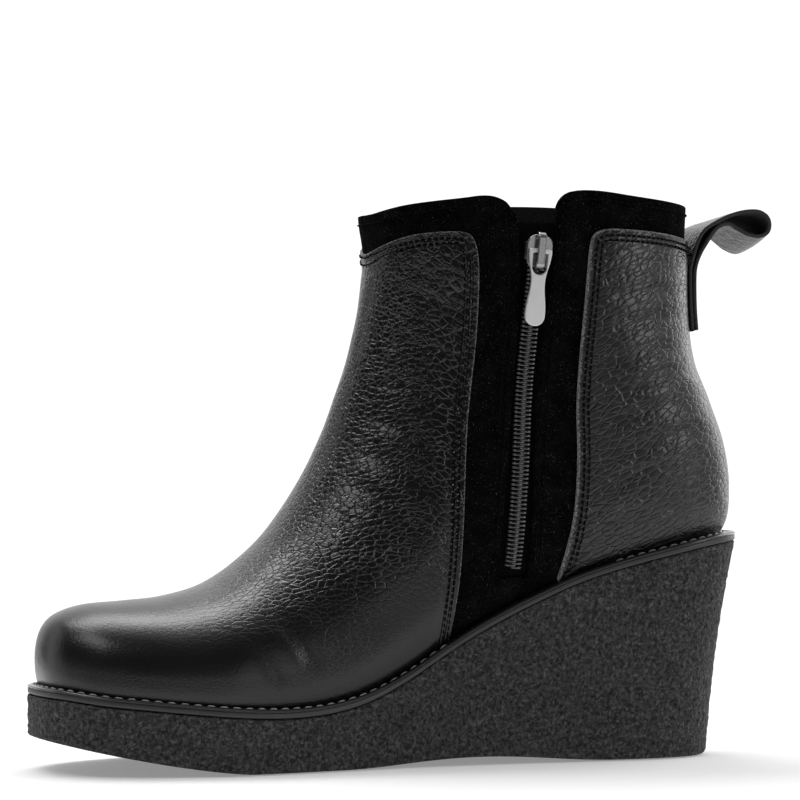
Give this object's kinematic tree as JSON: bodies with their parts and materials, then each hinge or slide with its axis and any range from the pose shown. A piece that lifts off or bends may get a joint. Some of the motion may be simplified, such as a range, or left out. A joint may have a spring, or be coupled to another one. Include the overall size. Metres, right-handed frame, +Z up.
{
  "type": "ankle boot",
  "caption": "Right ankle boot with leather panels over a suede shell, inner side zip, heel pull loop and crepe wedge sole.",
  "frame": {"origin": "middle of the boot's box, on the floor under the tread", "axes": "+Z up, +X from toe to heel, -Y the inner side with the zip"},
  "size_m": [0.2636, 0.0946, 0.1939],
  "materials": {
    "crepe_rubber": "matt, fine crepe grain",
    "welt_rubber": "satin, beaded edge",
    "footbed": "matt lining leather",
    "suede": "brushed nap",
    "leather": "tumbled grain, semi-gloss",
    "zip_cloth": "woven",
    "zip_nylon": "gloss",
    "silver": "polished, light scratches"
  },
  "bodies": {
    "boot": {"wedge_sole": "crepe_rubber", "welt": "welt_rubber", "insole": "footbed", "upper": "suede", "vamp": "leather", "quarter": "leather", "zip_tape": "zip_cloth", "zip_coil": "zip_nylon", "zip_slider": "silver", "pull_loop": "leather"},
    "zip_tab": {"zip_pull": "silver"}
  },
  "joints": [
    {"name": "zip_pull_swing", "type": "hinge", "parent": "boot", "child": "zip_tab", "pos_m": [0.03565, -0.03778, 0.17272], "axis": [-0.9945, 0.0458, 0.0939], "range_deg": [0, 170]}
  ]
}
